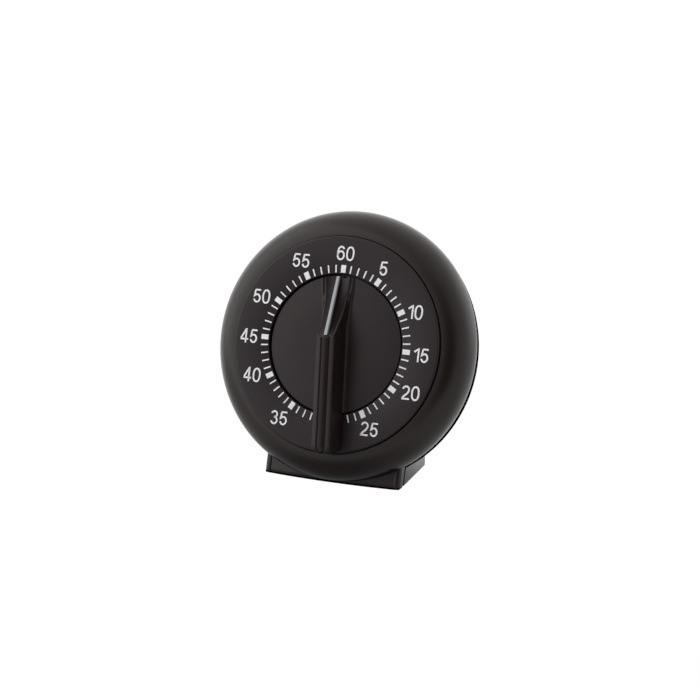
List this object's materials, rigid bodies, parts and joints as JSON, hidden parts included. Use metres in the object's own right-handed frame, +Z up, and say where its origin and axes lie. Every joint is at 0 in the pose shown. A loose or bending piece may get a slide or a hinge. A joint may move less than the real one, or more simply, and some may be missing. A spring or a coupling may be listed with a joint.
{
  "type": "countdown timer",
  "caption": "Round wind-up countdown timer on a small foot, leaning back, with a turning grip-bar knob, a pale pointer rib, a printed minute scale and a bell movement inside.",
  "frame": {"origin": "middle of the flat underside, on the surface that the timer stands on", "axes": "+X to the right as the dial is read, +Y from the dial towards the back, +Z up; the dial leans back by 19 degrees"},
  "size_m": [0.076, 0.0503, 0.0723],
  "materials": {
    "black_plastic": "black moulded plastic with a fine satin grain",
    "dial_plastic": "black moulded plastic, slightly smoother than the case",
    "knob_plastic": "black satin plastic",
    "white_plastic": "off-white plastic insert",
    "white_print": "white printed marks",
    "zinc_steel": "bright zinc-plated screws",
    "plate_brass": "stamped brass, unpolished",
    "arbor_steel": "turned and stamped steel",
    "spring_steel": "blued spring steel",
    "bell_steel": "nickel-plated pressed steel"
  },
  "bodies": {
    "case": {"front_housing": "black_plastic", "rear_housing": "black_plastic", "dial_plate": "dial_plastic", "minute_marks": "white_print", "case_screws": "zinc_steel", "front_plate": "plate_brass", "back_plate": "plate_brass", "plate_pillars": "plate_brass", "pillar_screws": "zinc_steel", "movement_screws": "zinc_steel", "arbor_bushes": "plate_brass", "mainspring": "spring_steel", "spring_post": "arbor_steel", "bell": "bell_steel", "bell_post": "arbor_steel", "bell_screw": "zinc_steel", "hammer_spring": "spring_steel"},
    "knob": {"knob": "knob_plastic", "pointer_rib": "white_plastic", "winding_arbor": "arbor_steel", "ratchet_wheel": "arbor_steel", "click": "arbor_steel", "main_wheel": "plate_brass", "spring_washer": "arbor_steel", "trip_cam": "plate_brass"},
    "second_arbor": {"second_pinion": "arbor_steel", "second_wheel": "plate_brass"},
    "third_arbor": {"third_pinion": "arbor_steel", "third_wheel": "plate_brass"},
    "escape_arbor": {"escape_pinion": "arbor_steel", "escape_wheel": "plate_brass"},
    "balance": {"pallet_lever": "arbor_steel", "pallet_arbor": "arbor_steel", "balance_wheel": "plate_brass"},
    "hammer": {"hammer": "arbor_steel", "hammer_arbor": "arbor_steel"}
  },
  "joints": [
    {"name": "knob_turn", "type": "hinge", "parent": "case", "child": "knob", "pos_m": [0, -0.00769, 0.03896], "axis": [0, 0.9455, -0.3256], "range_deg": [0, 364.3]},
    {"name": "second_turn", "type": "hinge", "parent": "case", "child": "second_arbor", "pos_m": [-0.01316, 0.00399, 0.02988], "axis": [0, 0.9455, -0.3256], "range_deg": [-2185.8, 0]},
    {"name": "third_turn", "type": "hinge", "parent": "case", "child": "third_arbor", "pos_m": [-0.01261, 0.0074, 0.03979], "axis": [0, 0.9455, -0.3256], "range_deg": [0, 10929]},
    {"name": "escape_turn", "type": "hinge", "parent": "case", "child": "escape_arbor", "pos_m": [-0.00657, 0.00992, 0.04709], "axis": [0, 0.9455, -0.3256], "range_deg": [-65574, 0]},
    {"name": "balance_swing", "type": "hinge", "parent": "case", "child": "balance", "pos_m": [0.00048, 0.01075, 0.04952], "axis": [0, -0.9455, 0.3256], "range_deg": [-4, 4]},
    {"name": "hammer_swing", "type": "hinge", "parent": "case", "child": "hammer", "pos_m": [0.01889, 0.00616, 0.03619], "axis": [0, -0.9455, 0.3256], "range_deg": [-8, 3.4], "stiffness_Nm_per_rad": 0.004}
  ],
  "couplings": [
    {"joint": "second_turn", "follows": "knob_turn", "ratio": -6},
    {"joint": "third_turn", "follows": "knob_turn", "ratio": 30},
    {"joint": "escape_turn", "follows": "knob_turn", "ratio": -180}
  ]
}
